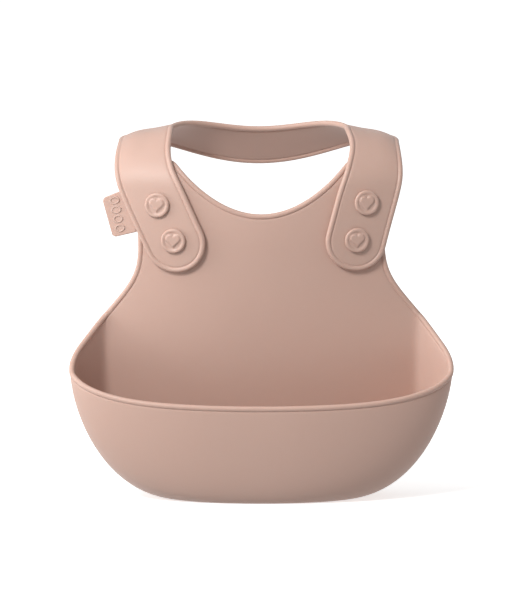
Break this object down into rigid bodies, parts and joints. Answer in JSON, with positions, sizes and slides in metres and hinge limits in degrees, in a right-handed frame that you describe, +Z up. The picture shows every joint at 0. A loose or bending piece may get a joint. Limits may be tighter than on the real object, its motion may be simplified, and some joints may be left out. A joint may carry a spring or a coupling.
{
  "type": "silicone bib",
  "caption": "Soft silicone bib with a wide catch pocket, rolled edges and a neckband held on both shoulders by press studs.",
  "frame": {"origin": "on the surface that the bib stands on, below the middle of its bounding box", "axes": "+Z up, +X towards the viewer's right, +Y from the pocket's front towards the nape; the pocket opens upwards at -Y"},
  "size_m": [0.2293, 0.1476, 0.2163],
  "materials": {
    "body_silicone": "satin dusty pink food-grade silicone",
    "neckband_silicone": "satin dusty pink food-grade silicone",
    "stud_silicone": "satin dusty pink silicone, a little firmer and smoother",
    "tag_silicone": "satin dusty pink silicone with raised dots"
  },
  "bodies": {
    "bib": {"bib_body": "body_silicone", "side_tag": "tag_silicone"},
    "neckband": {"neckband": "neckband_silicone"},
    "left_tab": {"left_tab": "neckband_silicone", "left_lower_stud": "stud_silicone", "left_upper_stud": "stud_silicone"},
    "right_tab": {"right_tab": "neckband_silicone", "right_lower_stud": "stud_silicone", "right_upper_stud": "stud_silicone"}
  },
  "joints": [
    {"name": "neckband_release", "type": "slide", "parent": "bib", "child": "neckband", "axis": [0, -1, 0], "range_m": [0, 0.022], "deforming": ["left_lower_stud", "left_upper_stud", "right_lower_stud", "right_upper_stud"]},
    {"name": "left_tab_lift", "type": "hinge", "parent": "neckband", "child": "left_tab", "pos_m": [-0.06675, -0.01204, 0.185], "axis": [-0.9127, 0.148, -0.3808], "range_deg": [0, 110], "deforming": ["left_lower_stud", "left_upper_stud"]},
    {"name": "right_tab_lift", "type": "hinge", "parent": "neckband", "child": "right_tab", "pos_m": [0.06551, -0.01236, 0.185], "axis": [-0.9495, -0.1883, 0.2509], "range_deg": [0, 110], "deforming": ["right_lower_stud", "right_upper_stud"]}
  ]
}
